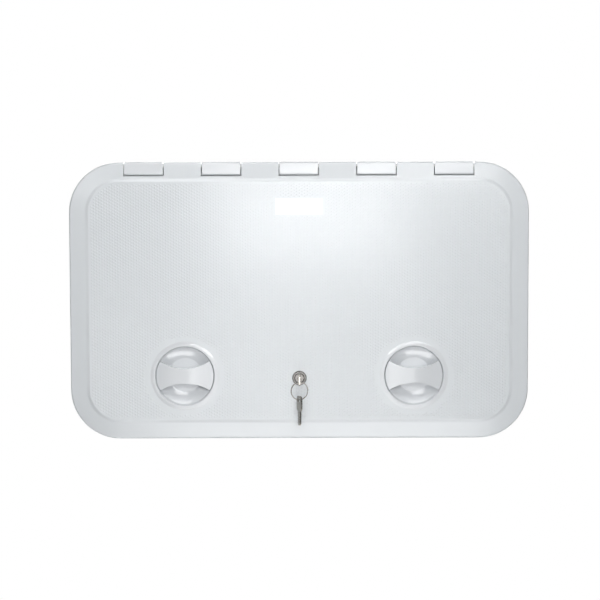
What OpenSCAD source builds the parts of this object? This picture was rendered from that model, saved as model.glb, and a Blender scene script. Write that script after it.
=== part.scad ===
// Access hatch for a caravan or camper wall: a moulded frame, a top-hinged lid with a
// raised panel, two quarter-turn latches and a cam lock with its keys.
// Every piece is drawn lying on its back: x along the width, y up the wall and
// z out of the wall, measured from the wall's outer skin. stand_up() then turns it
// so that the front faces -Y and the top faces +Z.

/* [Lid] */
// Width of the lid
lid_w = 600; // [480:1:720]
// Height of the lid
lid_h = 362; // [300:1:440]
// Outer corner radius of the lid
lid_corner_r = 65; // [50:1:80]
// Wall thickness of the lid moulding
lid_t = 3; // [2:0.1:4]
// Width of the plain border outside the raised panel
border_w = 20.5; // [18:0.5:26]
// Width of the bevel between border and panel
bevel_w = 5.5; // [3:0.5:8]
// Height of the raised panel above the border
panel_rise = 2; // [1:0.1:3]
// Fall of the border towards the lid's edge
border_fall = 1.4; // [0:0.1:1.6]
// Rounding of the lid's outer front edge
edge_r = 2.6; // [1:0.1:4]
// Depth of the ribs on the lid's back
rib_depth = 4; // [3:0.5:5]
// Thickness of the ribs on the lid's back
rib_t = 2.2; // [1.5:0.1:3]

/* [Frame] */
// Distance from the lid's edge in to the collar that goes into the wall
collar_inset = 30; // [28:1:40]
// Depth of the collar behind the wall's skin
collar_depth = 27; // [18:1:40]
// Wall thickness of the collar at its root
collar_t = 3; // [2:0.1:4]
// Thickness of the flange that lies on the wall
flange_t = 3; // [2:0.1:4]
// How far the flange stays inside the lid's outline
flange_inset = 2; // [1:0.5:4]
// Width of the catch strip inside the collar
strip_w = 10; // [6:0.5:14]
// Height of the upstand above the wall's skin
upstand_h = 13.2; // [11:0.1:13.4]
// Hole for a countersunk fixing screw
screw_hole_d = 4.5; // [3:0.1:6]
// Countersink of a fixing screw
screw_head_d = 8.6; // [7:0.1:11]

/* [Hinge] */
// Distance between neighbouring hinge knuckles
knuckle_pitch = 101; // [90:1:110]
// Width of one hinge knuckle
knuckle_w = 50.2; // [36:0.1:60]
// Height of a knuckle on the wall
knuckle_h = 17; // [15:0.1:17.5]
// How far the knuckles stand above the lid's top edge
knuckle_over = 0.4; // [0:0.1:2]
// Running gap between a knuckle and the notch in the lid
knuckle_gap = 1.3; // [1:0.1:2]
// Rounding of a knuckle's front edges
knuckle_r = 3; // [2:0.1:4]
// Diameter of the hinge rod
rod_d = 4; // [3:0.1:5]
// Wall of the lid's barrels round the hinge rod
rod_wall = 1.8; // [1.4:0.1:2]
// Radial clearance of the hinge rod
rod_clearance = 0.05; // [0.03:0.01:0.1]
// Depth of the rod's axis below the lid's top edge
rod_inset = 5; // [4.6:0.1:6]

/* [Latches] */
// Distance of each latch from the middle of the lid
latch_x = 150; // [110:1:190]
// Height of the latches from the lid's bottom edge
latch_up = 83; // [75:1:95]
// Radius of the grip's circle
grip_r = 37.8; // [30:0.1:44]
// Gap between the grip's ends and the dish
grip_gap = 1; // [0.6:0.1:2]
// Height of the grip in its middle
grip_waist = 19.5; // [14:0.1:24]
// Radius of the grip's hollow sides
grip_side_r = 60; // [45:1:80]
// Depth of the dish below the panel
dish_depth = 12; // [9:0.5:13]
// Radius of the dish's flat floor
dish_floor_r = 22; // [18:0.1:25]
// Radius between the dish's floor and its slope
dish_fillet_r = 3.5; // [2:0.1:5]
// Height of the steep rim inside the dish's mouth
dish_rim_h = 5; // [4:0.1:6]
// How far the steep rim leans inwards
dish_rim_lean = 1.6; // [0.8:0.1:2]
// Wall thickness of the dish
dish_t = 2.2; // [1.6:0.1:3]
// Width of the bezel outside the dish's mouth
bezel_w = 6; // [5:0.1:9]
// Rounding of the bezel's lip at the dish's mouth
lip_r = 0.7; // [0.5:0.1:1]
// Height of the bezel's outer edge above the panel
bezel_edge_h = 0.2; // [0.1:0.1:0.4]
// Diameter of the latch spindle
spindle_d = 10; // [8:0.5:13]
// Thickness of the latch cams
cam_t = 3; // [2:0.5:4]

/* [Lock] */
// Height of the lock from the lid's bottom edge
lock_up = 80; // [74:1:92]
// Diameter of the lock's chromed head
lock_head_d = 19; // [16:0.5:24]
// Diameter of the lock's barrel
barrel_d = 16; // [14:0.5:18]
// Diameter of the turning plug
plug_d = 11; // [9:0.5:12]
// Thickness of the keys
key_t = 2.2; // [1.6:0.1:2.6]
// Turn of the key ring and the spare key about the vertical
hang_turn = 20; // [0:1:25]
// Height of a key's bow
bow_h = 16; // [14:0.5:20]
// Length of a key's bow
bow_len = 20; // [16:0.5:26]
// Outer diameter of the key ring
ring_d = 24; // [20:0.5:30]
// Diameter of the key ring's wire
wire_d = 1.3; // [1:0.1:1.6]

/* [Hidden] */
$fn = 96;

// Colours of the mouldings and fittings
asa_white = "#E8EAEA";
asa_shade = "#DCDFE0";
rubber_black = "#2A2A2B";
stainless = "#B9BBBC";
zinc_plate = "#C7C9CC";
nickel = "#C9C6BD";

// Outside of the collar
collar_w = lid_w - 2 * collar_inset;
collar_h = lid_h - 2 * collar_inset;
collar_corner_r = lid_corner_r - collar_inset;

// Levels in front of the wall, along z
knuckle_top_z = 18.5;
rod_z = 12;
skirt_z = 6;
border_back_z = 14.3;
seal_gap = 0.3;
panel_back_z = upstand_h + 3 + seal_gap;
panel_z = panel_back_z + lid_t;
border_z = panel_z - panel_rise;
border_edge_z = border_z - border_fall;

// Levels of the latch and lock works
floor_z = panel_z - dish_depth;
grip_z = panel_z + 0.9;
bar_t = 5.2;
cam_gap = 1;
cam_z = -cam_gap - cam_t;
tang = spindle_d * 0.7;
lock_cam_t = 2.5;
lock_cam_z = -cam_gap - lock_cam_t;

// Places along y
top_y = lid_h / 2;
rod_y = top_y - rod_inset;
knuckle_y = top_y + knuckle_over - knuckle_h;
notch_y = knuckle_y - knuckle_gap;
latch_y = latch_up - top_y;
lock_y = lock_up - top_y;
knuckle_count = 5;
knuckle_mid = (knuckle_count - 1) / 2;
notch_half = knuckle_w / 2 + knuckle_gap;

// Clearances of pieces that slide or seat in each other
fit = 0.05;
seat = 0.15;

// Reach of the cams: 5 mm past the catch strip's inner edge
strip_edge_y = -collar_h / 2 + collar_t + strip_w;
cam_reach = latch_y - strip_edge_y + 5;
lock_cam_reach = lock_y - strip_edge_y + 5;

// Key ring and keys
coil_split = 0.5;
wire_gap = 0.6;
wire_room = coil_split + wire_d / 2 + wire_gap;
spare_lift = 0.15;
ring_r = (ring_d - wire_d) / 2;
slot_len = bow_h - 6;
slot_w = 4.6;
key_hole_z = panel_z + 20.5;
ring_hinge_y = lock_y - slot_len / 2 + wire_room;
spare_hinge_y = ring_hinge_y - 2 * ring_r;

// Stands a piece up, drawn on its back, so that its front faces -Y
module stand_up() {
    rotate([90, 0, 0]) children();
}

// Points of an arc about a centre, between two angles
function arc(x, y, r, from, to, steps, first = 0) = [
    for (i = [first : steps]) let (a = from + (to - from) * i / steps) [x + r * cos(a), y + r * sin(a)]
];

// Rectangle with round corners
module round_rect(w, h, r) {
    square([w - 2 * r, h], center = true);
    square([w, h - 2 * r], center = true);
    for (x = [-1, 1], y = [-1, 1])
        translate([x * (w / 2 - r), y * (h / 2 - r)]) circle(r);
}

// Sweeps a section along one side of a rectangle with round corners. The section's x
// runs outwards from the rectangle, and its y is the height. Sides and corners count
// from the right one, turning left.
module sweep_side(w, h, r, quarter) {
    side = quarter % 2 == 0 ? h : w;
    out = quarter % 2 == 0 ? w / 2 : h / 2;
    rotate(90 * quarter) translate([out, 0, 0]) rotate([90, 0, 0])
        linear_extrude(side - 2 * r, center = true) children();
}

module sweep_corner(w, h, r, quarter) {
    side = quarter % 2 == 0 ? h : w;
    out = quarter % 2 == 0 ? w / 2 : h / 2;
    rotate(90 * quarter) translate([out - r, side / 2 - r, 0])
        rotate_extrude(angle = 90) translate([r, 0]) children();
}

module sweep_round_rect(w, h, r) {
    for (quarter = [0 : 3]) {
        sweep_side(w, h, r, quarter) children();
        sweep_corner(w, h, r, quarter) children();
    }
}

// Straight bar with round ends, from the origin to x = length
module round_bar(length, width) {
    translate([0, -width / 2]) square([length, width]);
    circle(width / 2);
    translate([length, 0]) circle(width / 2);
}

// Cylinder along x, between two x values
module bar_x(from_x, to_x, y, z, r) {
    translate([from_x, y, z]) rotate([0, 90, 0]) cylinder(h = to_x - from_x, r = r);
}

// Frame: a flange on the wall, and a collar that goes through the wall and stands up in
// front of the flange, where it carries the seal
module flange_section() {
    flange_out = collar_inset - flange_inset;
    polygon([
        [0, 0],
        [flange_out, 0],
        [flange_out, flange_t - 1],
        [flange_out - 1, flange_t],
        [0, flange_t]
    ]);
}

module collar_section() {
    tip_t = collar_t - 0.6;
    polygon([
        [-collar_t, 0],
        [-tip_t, -collar_depth],
        [0, -collar_depth],
        [0, upstand_h],
        [-collar_t, upstand_h]
    ]);
}

screw_y = (collar_h / 2 + top_y - lid_t) / 2;
screw_x = (collar_w / 2 + lid_w / 2 - lid_t) / 2;
screw_sites = concat(
    [for (x = [-1.5, -0.5, 0.5, 1.5], y = [-1, 1]) [x * knuckle_pitch, y * screw_y]],
    [for (x = [-1, 1], y = [-60, 60]) [x * screw_x, y]]
);

module screw_hole() {
    sink = (screw_head_d - screw_hole_d) / 2;
    translate([0, 0, -1]) cylinder(h = flange_t + 2, d = screw_hole_d);
    translate([0, 0, flange_t - sink])
        cylinder(h = sink + 0.01, d1 = screw_hole_d, d2 = screw_head_d + 0.02);
}

module frame_flange() {
    color(asa_shade) stand_up() difference() {
        sweep_round_rect(collar_w, collar_h, collar_corner_r) flange_section();
        for (p = screw_sites) translate([p[0], p[1], 0]) screw_hole();
    }
}

// The collar is four flat walls and four corners, which meet face to face
module collar_wall(quarter) {
    color(asa_shade) stand_up()
        sweep_side(collar_w, collar_h, collar_corner_r, quarter) collar_section();
}

module collar_corners() {
    color(asa_shade) stand_up() for (quarter = [0 : 3])
        sweep_corner(collar_w, collar_h, collar_corner_r, quarter) collar_section();
}

// Strip inside the collar's lower side, behind which the cams of latches and lock close
module catch_strip() {
    half = collar_w / 2 - collar_corner_r;
    seat_y = -collar_h / 2 + collar_t;
    color(asa_shade) stand_up() linear_extrude(flange_t)
        polygon([
            [-half, seat_y],
            [half, seat_y],
            [half - strip_w / 2, seat_y + strip_w],
            [-half + strip_w / 2, seat_y + strip_w]
        ]);
}

// Rubber seal: a strip on the upstand with a round bead that meets the lid
module seal_section() {
    bead_r = 1.5;
    mid = -collar_t / 2;
    translate([mid - 2.6, upstand_h]) square([5.2, 1.2]);
    translate([mid, upstand_h + 3 - bead_r]) circle(bead_r);
}

module lid_seal() {
    color(rubber_black) stand_up()
        sweep_round_rect(collar_w, collar_h, collar_corner_r) seal_section();
}

// Hinge knuckle: a block on the flange with rounded front edges, bored for the rod
module knuckle_section() {
    foot_y = top_y - flange_inset;
    tip_y = top_y + knuckle_over;
    difference() {
        union() {
            polygon([
                [knuckle_y, flange_t],
                [foot_y, flange_t],
                [tip_y, flange_t + 4],
                [tip_y, knuckle_top_z - knuckle_r],
                [tip_y - knuckle_r, knuckle_top_z - knuckle_r],
                [tip_y - knuckle_r, knuckle_top_z],
                [knuckle_y + knuckle_r, knuckle_top_z],
                [knuckle_y + knuckle_r, knuckle_top_z - knuckle_r],
                [knuckle_y, knuckle_top_z - knuckle_r]
            ]);
            translate([tip_y - knuckle_r, knuckle_top_z - knuckle_r]) circle(knuckle_r);
            translate([knuckle_y + knuckle_r, knuckle_top_z - knuckle_r]) circle(knuckle_r);
        }
        translate([rod_y, rod_z]) circle(rod_d / 2 + rod_clearance);
    }
}

module knuckle(index) {
    x = (index - 1 - knuckle_mid) * knuckle_pitch;
    color(asa_white) stand_up()
        translate([x, 0, 0]) rotate([90, 0, 90])
            linear_extrude(knuckle_w, center = true) knuckle_section();
}

// Stainless rod through all the knuckles and the lid's barrels
rod_end = knuckle_mid * knuckle_pitch + notch_half + 9;

module hinge_rod() {
    color(stainless) stand_up() bar_x(-rod_end, rod_end, rod_y, rod_z, rod_d / 2);
}

// Lid: border, bevel and skirt swept round the edge, then the flat panel. The bevel is
// an ogee, so that it runs into border and panel without a crease.
panel_u = border_w + bevel_w + 5;
bevel_steps = 8;

module lid_section() {
    ogee = [
        for (i = [0 : bevel_steps]) let (t = i / bevel_steps)
            [-border_w - bevel_w * t, border_z + panel_rise * (1 - cos(180 * t)) / 2]
    ];
    polygon(concat(
        [
            [0, skirt_z],
            [0, border_edge_z - edge_r],
            [-edge_r, border_edge_z - edge_r],
            [-edge_r, border_edge_z]
        ],
        ogee,
        [
            [-panel_u, panel_z],
            [-panel_u, panel_back_z],
            [-border_w - bevel_w - 0.8, panel_back_z],
            [-border_w - 0.8, border_back_z],
            [-lid_t, border_back_z - border_fall],
            [-lid_t, skirt_z]
        ]
    ));
    translate([-edge_r, border_edge_z - edge_r]) intersection() {
        circle(edge_r);
        square(edge_r);
    }
}

module lid_shell() {
    sweep_round_rect(lid_w, lid_h, lid_corner_r) lid_section();
    translate([0, 0, panel_back_z]) linear_extrude(lid_t)
        round_rect(lid_w - 2 * panel_u, lid_h - 2 * panel_u, lid_corner_r - panel_u);
}

// Places its children at each hinge knuckle
module at_knuckles() {
    for (i = [0 : knuckle_count - 1])
        translate([(i - knuckle_mid) * knuckle_pitch, 0, 0]) children();
}

// Places its children at both latches
module at_latches() {
    for (side = [-1, 1]) translate([side * latch_x, latch_y, 0]) children();
}

module notch_cut() {
    translate([-notch_half, notch_y, 0]) cube([2 * notch_half, knuckle_h + 10, 30]);
}

// Wall round a notch, behind the border, with a barrel for the rod on both sides
module notch_wall() {
    difference() {
        translate([-notch_half - lid_t, notch_y - lid_t, skirt_z])
            cube([2 * (notch_half + lid_t), top_y - notch_y + lid_t / 2, border_back_z - skirt_z + 0.2]);
        notch_cut();
    }
    for (side = [0, 1]) mirror([side, 0, 0])
        bar_x(notch_half, notch_half + 12, rod_y, rod_z, rod_d / 2 + rod_wall);
}

// Ribs on the lid's back, inside the seal
boss_r = grip_r + grip_gap + dish_t + 6;
rib_field_w = collar_w - 2 * collar_t - 14;
rib_field_h = collar_h - 2 * collar_t - 14;

module rib_plan() {
    field_r = collar_corner_r - collar_t - 7;
    columns = [-0.375, -0.125, 0.125, 0.375];
    difference() {
        union() {
            difference() {
                round_rect(rib_field_w, rib_field_h, field_r);
                round_rect(rib_field_w - 2 * rib_t, rib_field_h - 2 * rib_t, field_r - rib_t);
            }
            for (c = columns)
                translate([c * rib_field_w - rib_t / 2, -rib_field_h / 2 + rib_t / 2])
                    square([rib_t, rib_field_h - rib_t]);
            for (y = [-30, 55])
                translate([-rib_field_w / 2 + rib_t / 2, y - rib_t / 2])
                    square([rib_field_w - rib_t, rib_t]);
        }
        at_latches() circle(boss_r);
        translate([0, lock_y]) circle(15);
    }
}

module lid() {
    color(asa_white) stand_up() difference() {
        union() {
            difference() {
                lid_shell();
                at_knuckles() notch_cut();
            }
            at_knuckles() notch_wall();
            translate([0, 0, panel_back_z - rib_depth]) linear_extrude(rib_depth + 0.5) rib_plan();
        }
        bar_x(-rod_end - 0.5, rod_end + 0.5, rod_y, rod_z, rod_d / 2 + rod_clearance);
        at_latches() translate([0, 0, 5]) cylinder(h = 30, r = dish_body_r + seat);
        translate([0, lock_y, 5]) cylinder(h = 30, r = barrel_d / 2 + seat);
    }
}

// Latch dish: a round bowl with a bezel on the panel and a hub for the spindle. Its flat
// floor runs through a fillet into a hollow slope, which ends at a steep rim.
mouth_r = grip_r + grip_gap;
dish_body_r = mouth_r + dish_t;
hub_z = 0.5;
lip_z = panel_z + 0.1;
hub_wall = 4;
rim_foot_r = mouth_r - dish_rim_lean;
rim_foot_z = lip_z - dish_rim_h;

// The slope is an arc whose angle grows by slope_turn between fillet and rim
slope_turn = 18;
fillet_end_r = dish_floor_r + dish_fillet_r * sin(slope_turn);
fillet_end_z = floor_z + dish_fillet_r * (1 - cos(slope_turn));
slope_chord = atan2(rim_foot_z - fillet_end_z, rim_foot_r - fillet_end_r);
slope_from = slope_chord - slope_turn / 2 - 90;
slope_len = norm([rim_foot_r - fillet_end_r, rim_foot_z - fillet_end_z]);
slope_r = slope_len / 2 / sin(slope_turn / 2);
slope_x = (fillet_end_r + rim_foot_r) / 2 - slope_r * cos(slope_turn / 2) * sin(slope_chord);
slope_z = (fillet_end_z + rim_foot_z) / 2 + slope_r * cos(slope_turn / 2) * cos(slope_chord);

module dish_section() {
    polygon(concat(
        [[spindle_d / 2 + fit, floor_z]],
        arc(dish_floor_r, floor_z + dish_fillet_r, dish_fillet_r, -90, slope_turn - 90, 4),
        arc(slope_x, slope_z, slope_r, slope_from, slope_from + slope_turn, 6, 1),
        arc(mouth_r + lip_r, lip_z, lip_r, 180, 90, 5),
        [
            [mouth_r + bezel_w / 3, lip_z + lip_r],
            [mouth_r + bezel_w, panel_z + bezel_edge_h],
            [mouth_r + bezel_w, panel_z],
            [dish_body_r, panel_z],
            [dish_body_r, rim_foot_z - dish_t / 2],
            [dish_floor_r + dish_t, floor_z - dish_t],
            [spindle_d / 2 + hub_wall, floor_z - dish_t],
            [spindle_d / 2 + hub_wall, hub_z],
            [spindle_d / 2 + fit, hub_z]
        ]
    ));
}

module latch_dish(side) {
    color(asa_white) stand_up() translate([side * latch_x, latch_y, 0])
        rotate_extrude() dish_section();
}

// Ring screwed on behind the lid, with slots for a spanner
module latch_retainer(side) {
    ring_h = 3.4;
    color(asa_shade) stand_up() translate([side * latch_x, latch_y, panel_back_z - ring_h])
        difference() {
            cylinder(h = ring_h, r = dish_body_r + 4);
            translate([0, 0, -1]) cylinder(h = ring_h + 2, r = dish_body_r + seat);
            for (a = [0 : 60 : 300])
                rotate(a) translate([dish_body_r + 2, -3, -1]) cube([5, 6, ring_h]);
        }
}

// Grip: a bow-tie bar flush with the bezel, on a web and a spindle through the dish
module grip_plan() {
    difference() {
        circle(grip_r);
        for (y = [-1, 1]) translate([0, y * (grip_waist / 2 + grip_side_r)]) circle(grip_side_r);
    }
}

// The bar's ends lean in with the rim, so that the gap stays the same all the way down
module latch_grip(side) {
    bar_z = grip_z - bar_t;
    crown_r = 300;
    rim_lean = dish_rim_lean / dish_rim_h;
    cone_h = 2 * bar_t;
    web_w = grip_waist - 6;
    screw_depth = 12;
    color(asa_white) stand_up() translate([side * latch_x, latch_y, 0]) difference() {
        union() {
            intersection() {
                translate([0, 0, bar_z]) linear_extrude(cone_h) grip_plan();
                translate([0, grip_r, grip_z - crown_r]) rotate([90, 0, 0])
                    cylinder(h = 2 * grip_r, r = crown_r, $fn = 360);
                translate([0, 0, lip_z - cone_h])
                    cylinder(h = 2 * cone_h, r1 = grip_r - cone_h * rim_lean, r2 = grip_r + cone_h * rim_lean);
            }
            translate([0, 0, floor_z + 0.3]) linear_extrude(bar_z - floor_z)
                round_rect(2 * dish_floor_r - 4, web_w, 5);
            translate([0, 0, -cam_gap]) cylinder(h = floor_z + 2, d = spindle_d);
            translate([-tang / 2, -tang / 2, cam_z]) cube([tang, tang, cam_t + 1]);
        }
        translate([0, 0, cam_z - 1]) cylinder(h = screw_depth + 1, r = 2 + fit);
    }
}

// Cam: a flat steel bar on the spindle's square tang, pointing inwards when released
module latch_cam(side) {
    color(stainless) stand_up() translate([side * latch_x, latch_y, cam_z])
        mirror([side > 0 ? 1 : 0, 0, 0]) difference() {
            linear_extrude(cam_t) difference() {
                union() {
                    circle(9);
                    round_bar(cam_reach - 7, 14);
                }
                square(tang + 2 * fit, center = true);
            }
            translate([cam_reach - 4, -10, cam_t]) rotate([0, 12, 0]) cube([10, 20, 5]);
        }
}

module latch_screw(side) {
    color(stainless) stand_up() translate([side * latch_x, latch_y, cam_z]) difference() {
        union() {
            translate([0, 0, -1]) cylinder(h = 1, r = 6);
            translate([0, 0, -3.6]) cylinder(h = 2.6, r1 = 3.4, r2 = 4.2);
            cylinder(h = 10, r = 2);
        }
        translate([0, 0, -5]) cylinder(h = 3, r = 2, $fn = 6);
    }
}

// Lock: chromed barrel with a round head on the panel, held by a nut behind the lid
head_z = panel_z + 3;

module lock_barrel() {
    color(nickel) stand_up() translate([0, lock_y, 0]) rotate_extrude()
        polygon([
            [plug_d / 2 + fit, hub_z - 1],
            [barrel_d / 2, hub_z - 1],
            [barrel_d / 2, panel_z],
            [lock_head_d / 2, panel_z],
            [lock_head_d / 2, head_z - 1.2],
            [lock_head_d / 2 - 1.2, head_z],
            [plug_d / 2 + 1.2, head_z],
            [plug_d / 2 + fit, head_z - 1]
        ]);
}

module lock_nut() {
    color(zinc_plate) stand_up() translate([0, lock_y, panel_back_z - 4]) difference() {
        cylinder(h = 4, r = 12, $fn = 6);
        translate([0, 0, -1]) cylinder(h = 6, r = barrel_d / 2 + fit);
    }
}

// Plug: turns in the barrel, with the key's slot in front and the cam's square behind
module lock_plug() {
    color(nickel) stand_up() translate([0, lock_y, 0]) difference() {
        union() {
            translate([0, 0, -cam_gap]) cylinder(h = head_z - 0.6 + cam_gap, d = plug_d);
            translate([-3, -3, lock_cam_z]) cube([6, 6, lock_cam_t + 1]);
            translate([0, 0, lock_cam_z - 4.5]) cylinder(h = 6, r = 2.5);
        }
        translate([-key_t / 2 - seat, -4 - seat, 1]) cube([key_t + 2 * seat, 8 + 2 * seat, 40]);
    }
}

module lock_cam() {
    color(zinc_plate) stand_up() translate([0, lock_y, lock_cam_z]) linear_extrude(lock_cam_t)
        difference() {
            union() {
                circle(8);
                round_bar(lock_cam_reach - 5, 10);
            }
            square(6 + 2 * fit, center = true);
        }
}

module lock_cam_nut() {
    color(zinc_plate) stand_up() translate([0, lock_y, lock_cam_z - 4]) difference() {
        cylinder(h = 4, r = 4.6, $fn = 6);
        translate([0, 0, -1]) cylinder(h = 6, r = 2.5 + fit);
    }
}

// Key: x across the bow, y from the blade's tip to the bow's end, slot at the origin
module key_plan() {
    bow_end = 5.5;
    blade_w = 7.6;
    shoulder_y = bow_end - bow_len;
    blade_len = 18.5;
    difference() {
        union() {
            translate([0, bow_end - bow_len / 2]) round_rect(bow_h, bow_len, 5);
            translate([-blade_w / 2, shoulder_y - blade_len]) square([blade_w, blade_len + 2]);
        }
        translate([-slot_len / 2 + slot_w / 2, 0]) round_bar(slot_len - slot_w, slot_w);
        for (i = [0 : 4])
            translate([blade_w / 2, shoulder_y - 5 - 3 * i]) rotate(45)
                square(1.2 + 0.35 * ((i * 2) % 3), center = true);
        translate([-blade_w / 2, shoulder_y - blade_len]) rotate(45) square(3.4, center = true);
        translate([blade_w / 2, shoulder_y - blade_len]) rotate(45) square(3.4, center = true);
    }
}

module key_blank() {
    rotate([90, 0, 90]) linear_extrude(key_t, center = true) key_plan();
}

module key() {
    color(nickel) stand_up() translate([0, lock_y, key_hole_z]) key_blank();
}

// Key ring: a split ring of two turns, hanging in the lower end of the key's slot
module key_ring() {
    color(nickel) stand_up() translate([0, ring_hinge_y - ring_r, key_hole_z])
        rotate([0, hang_turn, 0]) rotate_extrude() for (turn = [-1, 1])
            translate([ring_r, turn * coil_split]) circle(wire_d / 2, $fn = 32);
}

// Spare key: hangs from the ring with its blade down, turned a little to one side
module spare_key() {
    hang = slot_w / 2 - wire_room + spare_lift;
    color(nickel) stand_up() translate([0, spare_hinge_y - hang, key_hole_z])
        rotate([-90, hang_turn, 0]) key_blank();
}

frame_flange();
collar_wall(0);  // collar_right
collar_wall(1);  // collar_top
collar_wall(2);  // collar_left
collar_wall(3);  // collar_bottom
collar_corners();
catch_strip();
hinge_rod();
lid_seal();
knuckle(1);  // hinge_knuckle_1
knuckle(2);  // hinge_knuckle_2
knuckle(3);  // hinge_knuckle_3
knuckle(4);  // hinge_knuckle_4
knuckle(5);  // hinge_knuckle_5
lid();
latch_dish(-1);  // left_latch_dish
latch_dish(1);  // right_latch_dish
latch_retainer(-1);  // left_latch_retainer
latch_retainer(1);  // right_latch_retainer
lock_barrel();
lock_nut();
latch_grip(-1);  // left_latch_grip
latch_cam(-1);  // left_latch_cam
latch_screw(-1);  // left_latch_screw
latch_grip(1);  // right_latch_grip
latch_cam(1);  // right_latch_cam
latch_screw(1);  // right_latch_screw
lock_plug();
lock_cam();
lock_cam_nut();
key();
key_ring();
spare_key();
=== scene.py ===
"""Access hatch for a caravan or camper wall, closed, with its keys in the lock."""

import math

import bpy
import numpy as np
from mathutils import Matrix, Vector


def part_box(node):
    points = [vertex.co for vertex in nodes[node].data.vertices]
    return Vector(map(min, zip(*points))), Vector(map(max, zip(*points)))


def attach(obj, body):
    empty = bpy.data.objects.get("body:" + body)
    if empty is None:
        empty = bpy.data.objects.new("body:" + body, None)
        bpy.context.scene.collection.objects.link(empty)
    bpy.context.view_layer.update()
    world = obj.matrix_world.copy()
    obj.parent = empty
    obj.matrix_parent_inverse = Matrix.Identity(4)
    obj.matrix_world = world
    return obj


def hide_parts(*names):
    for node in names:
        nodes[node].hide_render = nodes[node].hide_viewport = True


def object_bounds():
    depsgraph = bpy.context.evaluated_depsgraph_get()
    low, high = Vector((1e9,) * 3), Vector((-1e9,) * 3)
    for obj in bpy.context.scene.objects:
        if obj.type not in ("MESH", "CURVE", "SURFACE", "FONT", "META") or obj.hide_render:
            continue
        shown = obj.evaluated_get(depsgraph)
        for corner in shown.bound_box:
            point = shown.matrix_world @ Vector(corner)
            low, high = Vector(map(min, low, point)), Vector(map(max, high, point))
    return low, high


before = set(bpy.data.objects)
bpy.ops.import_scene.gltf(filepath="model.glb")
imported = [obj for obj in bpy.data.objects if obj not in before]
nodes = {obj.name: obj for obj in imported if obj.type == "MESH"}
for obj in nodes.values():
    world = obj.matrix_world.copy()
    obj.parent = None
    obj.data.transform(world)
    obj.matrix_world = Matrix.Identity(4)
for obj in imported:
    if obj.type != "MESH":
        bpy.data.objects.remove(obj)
cad_low, cad_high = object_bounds()
MM = 0.001

# The camera stands two metres off, a little above the middle of the hatch, as a product
# photographer's does. The lid's width fills three quarters of the square picture.
CAMERA_DISTANCE = 2.0
CAMERA_RISE = math.radians(3.5)
CAMERA_ROLL = math.radians(0.17)
CAMERA_LENS_MM = 91.8
CAMERA_SENSOR_MM = 36
CAMERA_AIM = Vector((0.0014, -0.0175, 0.0012))

bpy.ops.object.camera_add(
    location=CAMERA_AIM + CAMERA_DISTANCE * Vector((0, -math.cos(CAMERA_RISE), math.sin(CAMERA_RISE))),
    rotation=(math.pi / 2 - CAMERA_RISE, CAMERA_ROLL, 0),
)
camera = bpy.context.object
camera.data.lens = CAMERA_LENS_MM
camera.data.sensor_width = CAMERA_SENSOR_MM
bpy.context.scene.camera = camera


def linear(hex_text):
    """Linear RGBA of an sRGB colour written as six hex digits."""
    levels = [int(hex_text[i:i + 2], 16) / 255 for i in (0, 2, 4)]
    return [v / 12.92 if v <= 0.04045 else ((v + 0.055) / 1.055) ** 2.4 for v in levels] + [1.0]


def add_node(tree, kind, settings=None, links=None):
    """Adds a shader node. Settings are properties or inputs; links maps inputs to sockets."""
    node = tree.nodes.new(kind)
    for key, value in (settings or {}).items():
        if isinstance(key, str) and hasattr(node, key):
            setattr(node, key, value)
        else:
            node.inputs[key].default_value = value
    for key, socket in (links or {}).items():
        tree.links.new(socket, node.inputs[key])
    return node


def new_material(name):
    """A material with an empty node tree, its tree and its output node."""
    material = bpy.data.materials.new(name)
    material.use_nodes = True
    tree = material.node_tree
    tree.nodes.clear()
    return material, tree, tree.nodes.new("ShaderNodeOutputMaterial")


def new_object(name, data):
    """A new object in the scene."""
    piece = bpy.data.objects.new(name, data)
    bpy.context.scene.collection.objects.link(piece)
    return piece


def only(piece):
    """Selects one piece alone and makes it the active one."""
    bpy.ops.object.select_all(action="DESELECT")
    piece.select_set(True)
    bpy.context.view_layer.objects.active = piece


# Floor: a small sheet far below the hatch. It glows for the camera and for reflections, so
# that it reads as plain white.
FLOOR_SIZE = 5
FLOOR_DROP = 1.2
FLOOR_COLOUR = "F4F5F6"
FLOOR_ROUGHNESS = 0.9
FLOOR_LIFT = 0.95

bpy.ops.mesh.primitive_plane_add(size=FLOOR_SIZE, location=(0, 0, cad_low.z - FLOOR_DROP))
floor = bpy.context.object
floor.name = "studio_floor"
material, tree, output = new_material("painted_studio_floor")
paint = add_node(
    tree, "ShaderNodeBsdfPrincipled", {"Base Color": linear(FLOOR_COLOUR), "Roughness": FLOOR_ROUGHNESS},
)
path = add_node(tree, "ShaderNodeLightPath")
seen = add_node(
    tree, "ShaderNodeMath", {"operation": "MAXIMUM"},
    {0: path.outputs["Is Camera Ray"], 1: path.outputs["Is Glossy Ray"]},
)
lift = add_node(tree, "ShaderNodeMath", {"operation": "MULTIPLY", 1: FLOOR_LIFT}, {0: seen.outputs[0]})
glow = add_node(tree, "ShaderNodeEmission", {"Color": (1, 1, 1, 1)}, {"Strength": lift.outputs[0]})
both = add_node(tree, "ShaderNodeAddShader", None, {0: paint.outputs[0], 1: glow.outputs[0]})
tree.links.new(both.outputs[0], output.inputs["Surface"])
floor.data.materials.append(material)

# Studio: the wall behind the hatch reads as plain white, straight on and in grazing
# reflections. The room in front is dim, with darker flags on both sides, which draw a thin
# grey line round the white mouldings.
ROOM_COLOUR = "F4F5F7"
ROOM_LIGHT = 0.1
FLAG_LIGHT = 0.04
FLAG_STARTS, FLAG_FULL = 0.15, 0.5
BACKDROP_LIGHT = 1.0
BACKDROP_STARTS, BACKDROP_FULL = 0.85, 1.0

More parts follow.
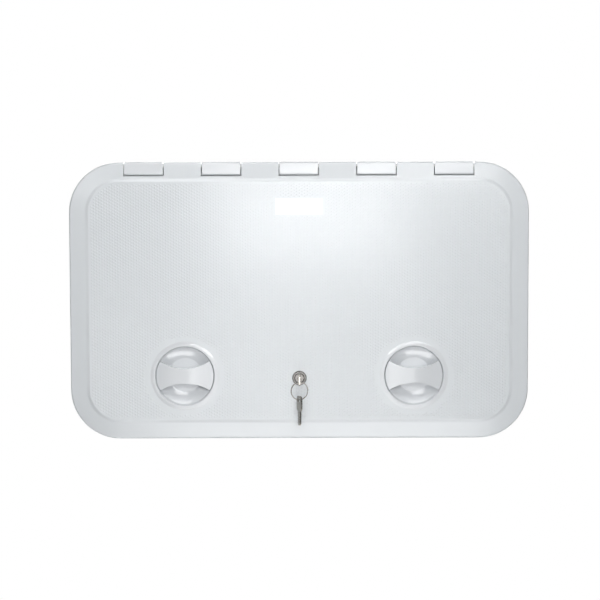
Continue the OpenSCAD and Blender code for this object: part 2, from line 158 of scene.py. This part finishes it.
world = bpy.data.worlds.new("white_room")
bpy.context.scene.world = world
world.use_nodes = True
tree = world.node_tree
tree.nodes.clear()
output = tree.nodes.new("ShaderNodeOutputWorld")
place = add_node(tree, "ShaderNodeTexCoord")
way = add_node(tree, "ShaderNodeSeparateXYZ", None, {0: place.outputs["Generated"]})
sideways = add_node(tree, "ShaderNodeMath", {"operation": "ABSOLUTE"}, {0: way.outputs["X"]})
room = add_node(
    tree, "ShaderNodeMapRange",
    {
        "interpolation_type": "SMOOTHSTEP",
        "From Min": FLAG_STARTS,
        "From Max": FLAG_FULL,
        "To Min": ROOM_LIGHT,
        "To Max": FLAG_LIGHT,
    },
    {"Value": sideways.outputs[0]},
)
behind = add_node(
    tree, "ShaderNodeMapRange",
    {"interpolation_type": "SMOOTHSTEP", "From Min": BACKDROP_STARTS, "From Max": BACKDROP_FULL},
    {"Value": way.outputs["Y"]},
)
path = add_node(tree, "ShaderNodeLightPath")
mirrored = add_node(
    tree, "ShaderNodeMath", {"operation": "MULTIPLY"},
    {0: path.outputs["Is Glossy Ray"], 1: behind.outputs[0]},
)
looked = add_node(
    tree, "ShaderNodeMath", {"operation": "MAXIMUM"},
    {0: path.outputs["Is Camera Ray"], 1: path.outputs["Is Transmission Ray"]},
)
seen = add_node(
    tree, "ShaderNodeMath", {"operation": "MAXIMUM"}, {0: looked.outputs[0], 1: mirrored.outputs[0]},
)
plain = add_node(
    tree, "ShaderNodeBackground", {"Color": linear(ROOM_COLOUR)}, {"Strength": room.outputs[0]},
)
white = add_node(tree, "ShaderNodeBackground", {"Color": (1, 1, 1, 1), "Strength": BACKDROP_LIGHT})
mix = add_node(
    tree, "ShaderNodeMixShader", None, {0: seen.outputs[0], 1: plain.outputs[0], 2: white.outputs[0]},
)
tree.links.new(mix.outputs[0], output.inputs["Surface"])
bpy.context.scene.view_settings.view_transform = "Standard"

# Lamps, each with its place, its aim, its width and height in metres and its watts. The
# softboxes light the hatch. The cards only show as reflections, in the bowls, along the
# bevel and on the metal.
SOFTBOXES = [
    ("top_softbox", (0.0, -0.8, 1.3), (0, 0, 0.1), 1.2, 0.35, 7.2),
    ("front_softbox", (0.0, -1.9, 0.9), (0, 0, -0.1), 0.9, 0.5, 10.4),
    ("camera_softbox", (0.02, -2.1, 0.12), (0, 0, 0.1), 0.5, 0.24, 5.6),
    ("right_softbox", (0.43, -2.1, 0.38), (0.1, 0, 0.15), 0.42, 0.34, 4),
    ("left_softbox", (-0.8, -2.0, 0.42), (-0.2, 0, 0.1), 0.35, 0.35, 1.1),
    ("low_bounce", (0.0, -1.9, -0.9), (0, 0, -0.1), 0.9, 0.4, 4.2),
    ("back_softbox", (0.0, 2.0, 0.7), (0, 0, 0), 1.6, 1.0, 22),
]
CARDS = [
    ("camera_card", (0.06, -2.2, -0.28), (0, 0, 0), 0.6, 0.6, 4.0),
    ("bottom_card", (0.12, -2.0, -0.72), (0, 0, -0.1), 1.0, 0.4, 4.8),
    ("wide_card", (-0.35, -2.2, -0.35), (0, 0, 0), 0.7, 0.5, 2),
    ("left_card", (-1.9, -1.1, 0.0), (-0.2, 0, 0), 0.5, 1.0, 4),
    ("right_card", (1.9, -1.1, 0.0), (0.2, 0, 0), 0.5, 1.0, 3),
    ("low_card", (0.0, -0.75, -1.15), (0, 0, -0.1), 1.2, 0.35, 8),
]


def softbox(name, place, aim, wide, high, watts, mirrored_only=False):
    """An area lamp at a place, turned to face the aim and hidden from the camera."""
    bpy.ops.object.light_add(type="AREA", location=place)
    lamp = bpy.context.object
    lamp.name = name
    lamp.data.shape = "RECTANGLE"
    lamp.data.size = wide
    lamp.data.size_y = high
    lamp.data.energy = watts
    lamp.visible_camera = False
    lamp.visible_diffuse = not mirrored_only
    lamp.rotation_euler = (Vector(aim) - Vector(place)).to_track_quat("-Z", "Y").to_euler()


for lamp_row in SOFTBOXES:
    softbox(*lamp_row)
for lamp_row in CARDS:
    softbox(*lamp_row, mirrored_only=True)

# Plastics and rubber. The tint drifts a little over a hand's breadth, and the grain of the
# tool breaks the gloss.
CLOUD_SCALE = 9.0
CLOUD_DETAIL = 3.0
GRAIN_DETAIL = 2.0
GRAIN_STRENGTH = 0.35
MOULDING_IOR = 1.52


def moulded(name, colour, roughness, grain_mm, grain_depth, cloud=0.012):
    """Injection moulded ASA or rubber: opaque, evenly coloured, with a fine grain from the tool."""
    material, tree, output = new_material(name)
    place = add_node(tree, "ShaderNodeTexCoord")
    broad = add_node(
        tree, "ShaderNodeTexNoise", {"Scale": CLOUD_SCALE, "Detail": CLOUD_DETAIL},
        {"Vector": place.outputs["Object"]},
    )
    shade = [c * (1 - cloud) for c in linear(colour)[:3]] + [1]
    tint = add_node(
        tree, "ShaderNodeMixRGB", {"Color1": linear(colour), "Color2": shade},
        {"Fac": broad.outputs["Fac"]},
    )
    grain = add_node(
        tree, "ShaderNodeTexNoise", {"Scale": 1000 / grain_mm, "Detail": GRAIN_DETAIL},
        {"Vector": place.outputs["Object"]},
    )
    bump = add_node(
        tree, "ShaderNodeBump", {"Strength": GRAIN_STRENGTH, "Distance": grain_depth * MM},
        {"Height": grain.outputs["Fac"]},
    )
    surface = add_node(
        tree, "ShaderNodeBsdfPrincipled", {"Roughness": roughness, "IOR": MOULDING_IOR},
        {"Base Color": tint.outputs[0], "Normal": bump.outputs[0]},
    )
    tree.links.new(surface.outputs[0], output.inputs["Surface"])
    return material


# Metals. Tumbling marks make the gloss vary between these shares of the stated roughness.
MARK_DETAIL = 4.0
GLOSSIEST, DULLEST = 0.8, 1.4


def plated(name, colour, roughness, streak_mm):
    """Plated or bright metal, with the faint tumbling marks of small parts."""
    material, tree, output = new_material(name)
    place = add_node(tree, "ShaderNodeTexCoord")
    marks = add_node(
        tree, "ShaderNodeTexNoise", {"Scale": 1000 / streak_mm, "Detail": MARK_DETAIL},
        {"Vector": place.outputs["Object"]},
    )
    gloss = add_node(
        tree, "ShaderNodeMapRange", {"To Min": roughness * GLOSSIEST, "To Max": roughness * DULLEST},
        {"Value": marks.outputs["Fac"]},
    )
    surface = add_node(
        tree, "ShaderNodeBsdfPrincipled", {"Base Color": linear(colour), "Metallic": 1.0},
        {"Roughness": gloss.outputs[0]},
    )
    tree.links.new(surface.outputs[0], output.inputs["Surface"])
    return material


def finish_nodes(names, material):
    """Gives CAD nodes a material."""
    for name in names:
        mesh = nodes[name].data
        mesh.materials.clear()
        mesh.materials.append(material)


# Broken edges. Edges sharper than this angle are rounded, and normals weighted by the area
# of the faces keep the broad faces flat.
SHARP = math.radians(32)
WELD = 0.001 * MM
COPLANAR = math.radians(0.2)
NORMAL_WEIGHT = 90


def softened(node, body, material, width, segments=3):
    """A merged copy of a CAD node with its sharp edges broken, which stands for the node."""
    piece = new_object(f"{node}_softened", nodes[node].data.copy())
    only(piece)
    bpy.ops.mesh.customdata_custom_splitnormals_clear()
    bpy.ops.object.mode_set(mode="EDIT")
    bpy.ops.mesh.select_all(action="SELECT")
    bpy.ops.mesh.remove_doubles(threshold=WELD)
    bpy.ops.mesh.dissolve_limited(angle_limit=COPLANAR)
    bpy.ops.object.mode_set(mode="OBJECT")
    bevel = piece.modifiers.new("broken_edges", "BEVEL")
    bevel.width = width
    bevel.segments = segments
    bevel.angle_limit = SHARP
    bevel.use_clamp_overlap = True
    bpy.ops.object.modifier_apply(modifier="broken_edges")
    bpy.ops.object.shade_smooth_by_angle(angle=SHARP)
    flat = piece.modifiers.new("flat_faces", "WEIGHTED_NORMAL")
    flat.mode = "FACE_AREA"
    flat.weight = NORMAL_WEIGHT
    flat.keep_sharp = True
    bpy.ops.object.modifier_apply(modifier="flat_faces")
    piece.data.materials.clear()
    piece.data.materials.append(material)
    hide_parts(node)
    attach(piece, body)


# Wall frame: one injection moulding in white ASA, the weatherproof plastic of such fittings.
# It shows a dense, satin surface with a fine tool grain. The flange lies on the wall, and
# the collar and the catch strip behind which the latches close show when the lid is open.
frame_asa = moulded("frame_white_asa", "E6E9EC", 0.4, 0.9, 0.02)
collar_pieces = sorted(n for n in nodes if n.startswith("collar_"))
finish_nodes(["frame_flange", *collar_pieces, "catch_strip"], frame_asa)

# Seal: extruded EPDM rubber on the collar's front edge, matt black with a dusty bloom.
seal_rubber = moulded("extruded_epdm_rubber", "262728", 0.7, 0.6, 0.03, 0.2)
finish_nodes(["lid_seal"], seal_rubber)

# Hinge: five knuckles in the same white ASA, from a polished tool, on one stainless rod.
KNUCKLE_EDGE = 0.55 * MM
knuckle_asa = moulded("knuckle_white_asa", "EAEDF0", 0.2, 0.9, 0.008)
for knuckle in sorted(n for n in nodes if n.startswith("hinge_knuckle")):
    softened(knuckle, "wall_frame", knuckle_asa, KNUCKLE_EDGE)
stainless = plated("turned_stainless_steel", "B4B5B4", 0.32, 1.2)
finish_nodes(["hinge_rod"], stainless)

# Lid: one injection moulding in white ASA, satin on the border and the bevel.
LID_EDGE = 0.5 * MM
lid_asa = moulded("satin_white_asa", "E8ECEF", 0.19, 0.9, 0.015)
softened("lid", "hatch_lid", lid_asa, LID_EDGE, 2)

# Pips: the raised panel carries small round pips in a close six-sided packing, moulded in
# one with the lid. They stop short of the latches, the lock and the bare label place.
PIP_PITCH = 4.0 * MM
PIP_COLUMN = PIP_PITCH * math.sqrt(3) / 2
PIP_COLUMNS_EACH_WAY = 80
PIP_ROWS_EACH_WAY = 46
PANEL_EDGE = 28.0 * MM
PANEL_CORNER = 37.0 * MM
LATCH_CLEAR = 52.0 * MM
LOCK_CLEAR = 12.5 * MM
LABEL_W, LABEL_H = 61 * MM, 21 * MM
LABEL_Z = 123.5 * MM

# One pip: a low six-sided cone frustum with a point on top, drawn round by smooth shading.
PIP_SIDES = 6
PIP_R = 1.25 * MM
PIP_TOP_R = 0.62 * PIP_R
PIP_H = 0.6 * MM
PIP_SHOULDER = 0.72 * PIP_H

lid_low, lid_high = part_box("lid")
panel_y = lid_low.y
left_dish_low, left_dish_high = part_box("left_latch_dish")
right_dish_low, right_dish_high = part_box("right_latch_dish")
barrel_low, barrel_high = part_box("lock_barrel")
latch_places = [(left_dish_low + left_dish_high) / 2, (right_dish_low + right_dish_high) / 2]
lock_place = (barrel_low + barrel_high) / 2


def on_panel(x, z):
    """True where the panel carries a pip."""
    half_w = (lid_high.x - lid_low.x) / 2 - PANEL_EDGE
    half_h = (lid_high.z - lid_low.z) / 2 - PANEL_EDGE
    over_x = np.maximum(np.abs(x) - (half_w - PANEL_CORNER), 0)
    over_z = np.maximum(np.abs(z) - (half_h - PANEL_CORNER), 0)
    keep = np.hypot(over_x, over_z) < PANEL_CORNER
    keep &= (np.abs(x) <= half_w) & (np.abs(z) <= half_h)
    for spot in latch_places:
        keep &= np.hypot(x - spot.x, z - spot.z) > LATCH_CLEAR
    keep &= np.hypot(x - lock_place.x, z - lock_place.z) > LOCK_CLEAR
    keep &= (np.abs(x) > LABEL_W / 2 + PIP_R) | (np.abs(z - LABEL_Z) > LABEL_H / 2 + PIP_R)
    return keep


def in_turn(ring_points):
    """Points sorted by their angle round the middle."""
    return ring_points[np.argsort(np.arctan2(ring_points[:, 1], ring_points[:, 0]))]


bpy.ops.mesh.primitive_cone_add(
    vertices=PIP_SIDES, radius1=PIP_R, radius2=PIP_TOP_R, depth=PIP_SHOULDER, end_fill_type="NOTHING",
)
pip = bpy.context.object
frustum = np.array([v.co for v in pip.data.vertices])
bpy.data.objects.remove(pip)
frustum = frustum[np.argsort(frustum[:, 2], kind="stable")]
frustum = np.vstack([in_turn(frustum[:PIP_SIDES]), in_turn(frustum[PIP_SIDES:])])
frustum[:, 2] += PIP_SHOULDER / 2
pip_points = np.vstack([frustum, [[0, 0, PIP_H]]])
pip_points = np.stack([pip_points[:, 0], -pip_points[:, 2], pip_points[:, 1]], axis=1)
top = 2 * PIP_SIDES
low_edges = [(i, (i + 1) % PIP_SIDES) for i in range(PIP_SIDES)]
pip_faces = [(a, b, PIP_SIDES + b) for a, b in low_edges]
pip_faces += [(a, PIP_SIDES + b, PIP_SIDES + a) for a, b in low_edges]
pip_faces += [(PIP_SIDES + a, PIP_SIDES + b, top) for a, b in low_edges]
pip_faces = np.array(pip_faces)

columns = np.arange(-PIP_COLUMNS_EACH_WAY, PIP_COLUMNS_EACH_WAY + 1)
rows = np.arange(-PIP_ROWS_EACH_WAY, PIP_ROWS_EACH_WAY + 1)
grid_x, grid_z = np.meshgrid(columns * PIP_COLUMN, rows * PIP_PITCH, indexing="ij")
grid_z = grid_z + np.where(columns % 2 == 0, 0, PIP_PITCH / 2)[:, None]
keep = on_panel(grid_x, grid_z)
pip_x, pip_z = grid_x[keep], grid_z[keep]

for side, chosen in (("left", pip_x < 0), ("right", pip_x >= 0)):
    centres = np.stack([pip_x[chosen], np.full(chosen.sum(), panel_y), pip_z[chosen]], axis=1)
    vertices = (centres[:, None, :] + pip_points[None, :, :]).reshape(-1, 3)
    faces = (np.arange(len(centres))[:, None, None] * len(pip_points) + pip_faces[None]).reshape(-1, 3)
    mesh = bpy.data.meshes.new(f"panel_pips_{side}")
    mesh.from_pydata(vertices.tolist(), [], faces.tolist())
    mesh.shade_smooth()
    pips = new_object(f"panel_pips_{side}", mesh)
    pips.data.materials.append(lid_asa)
    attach(pips, "hatch_lid")

# Label place: a smooth raised pad on the panel, left bare.
PAD_T = 0.35 * MM
PAD_EDGE = 0.3 * MM
bpy.ops.mesh.primitive_cube_add(size=1, location=(0, panel_y - PAD_T / 2, LABEL_Z))
pad = bpy.context.object
pad.name = "bare_label_pad"
pad.scale = (LABEL_W, PAD_T, LABEL_H)
bpy.ops.object.transform_apply(location=True, rotation=True, scale=True)
bevel = pad.modifiers.new("corners", "BEVEL")
bevel.width = PAD_EDGE
bevel.segments = 3
bpy.ops.object.modifier_apply(modifier="corners")
pad_asa = moulded("smooth_white_asa", "FDFDFD", 0.2, 0.9, 0.005)
pad.data.materials.append(pad_asa)
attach(pad, "hatch_lid")

# Latches: dish and bow-tie grip are gloss ASA from a polished tool. The ring that holds the
# dish from behind is a plainer moulding, and the cam and its screw are stainless steel.
GRIP_EDGE = 1.1 * MM
DISH_EDGE = 0.25 * MM
latch_asa = moulded("gloss_white_asa", "E7EAED", 0.11, 0.9, 0.004)
nut_asa = moulded("nut_grey_asa", "D5D8DA", 0.5, 0.9, 0.02)
for side in ("left", "right"):
    softened(f"{side}_latch_dish", "hatch_lid", latch_asa, DISH_EDGE, 2)
    softened(f"{side}_latch_grip", f"{side}_latch", latch_asa, GRIP_EDGE)
    finish_nodes([f"{side}_latch_retainer"], nut_asa)
    finish_nodes([f"{side}_latch_cam", f"{side}_latch_screw"], stainless)

# Lock: a die-cast barrel and plug under worn chrome, with a zinc plated nut and cam.
LOCK_EDGE = 0.3 * MM
zinc = plated("zinc_plated_steel", "B9BCBE", 0.38, 0.9)
finish_nodes(["lock_nut", "lock_cam", "lock_cam_nut"], zinc)
chrome = plated("bright_chrome_plate", "6E6C6A", 0.25, 1.5)
softened("lock_barrel", "hatch_lid", chrome, LOCK_EDGE, 2)
finish_nodes(["lock_plug"], chrome)

# Keys: stamped brass blanks, nickel plated, rubbed round at their edges.
KEY_EDGE = 0.8 * MM
nickel = plated("nickel_plated_brass", "9D9A94", 0.25, 1.0)
softened("key", "lock_core", nickel, KEY_EDGE)
softened("spare_key", "hanging_key", nickel, KEY_EDGE)

# Key ring: two turns of hard spring wire lying side by side. The wire crosses from one turn
# to the other in a short kink at the right, given as a share of a turn. The ring hangs with
# its right side toward the lid.
WIRE_D = 1.1 * MM
WIRE_PITCH = 1.15 * MM
WIRE_ROUNDING = 4
WIRE_SMOOTH = math.radians(50)
KINK = 0.12
RING_STEPS = 150
HANG_TURN = math.radians(20)
ring_low, ring_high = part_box("key_ring")
ring_place = (ring_low + ring_high) / 2
ring_r = (ring_high.z - ring_low.z - WIRE_D) / 2
turns = np.linspace(0, 2 - KINK, RING_STEPS)
across = np.clip((turns - 1 + KINK) / KINK, 0, 1)
across = WIRE_PITCH * (across ** 2 * (3 - 2 * across) - 0.5)
wire = bpy.data.curves.new("split_ring", "CURVE")
wire.dimensions = "3D"
wire.bevel_depth = WIRE_D / 2
wire.bevel_resolution = WIRE_ROUNDING
wire.use_fill_caps = True
line = wire.splines.new("POLY")
line.points.add(RING_STEPS - 1)
for point, turn, offset in zip(line.points, turns, across):
    angle = 2 * math.pi * turn
    flat = Vector((ring_r * math.cos(angle), offset, ring_r * math.sin(angle)))
    point.co = (*(ring_place + Matrix.Rotation(HANG_TURN, 3, "Z") @ flat), 1)
ring = new_object("split_ring", wire)
only(ring)
bpy.ops.object.convert(target="MESH")
bpy.ops.object.shade_smooth_by_angle(angle=WIRE_SMOOTH)
ring.data.materials.append(nickel)
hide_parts("key_ring")
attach(ring, "ring")
